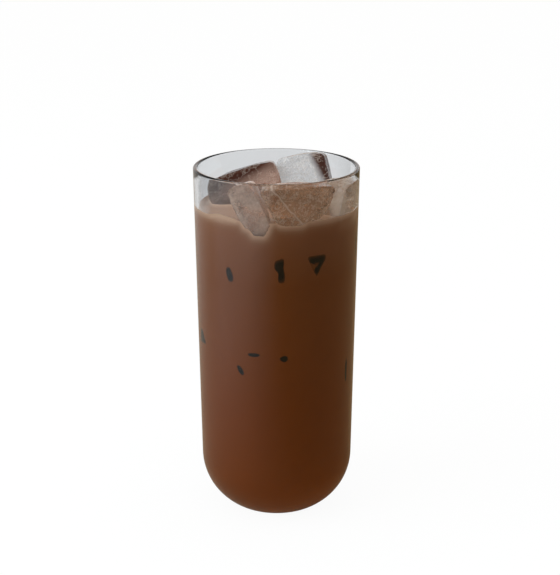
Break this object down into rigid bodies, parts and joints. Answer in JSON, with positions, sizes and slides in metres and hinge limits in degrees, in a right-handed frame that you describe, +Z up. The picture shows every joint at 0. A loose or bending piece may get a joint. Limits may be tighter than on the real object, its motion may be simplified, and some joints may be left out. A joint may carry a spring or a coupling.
{
  "type": "iced chocolate latte",
  "caption": "Tall thin-walled tumbler with a large round corner, filled with milky chocolate coffee nearly to its rim, with half-melted blocks of ice standing out of the drink.",
  "frame": {"origin": "on the axis of the glass, at the plane of the table", "axes": "+Z up the axis of the glass, -Y towards the front"},
  "size_m": [0.068, 0.068, 0.1526],
  "materials": {
    "glass": "clear soda-lime glass with a fire-polished rim",
    "drink": "opaque milky chocolate coffee, wet",
    "ice": "clear half-melted ice, wet"
  },
  "bodies": {
    "root": {"glass": "glass", "drink": "drink", "ice_front_left": "ice", "ice_front": "ice", "ice_right": "ice", "ice_back_left": "ice", "ice_back_right": "ice"}
  },
  "joints": []
}
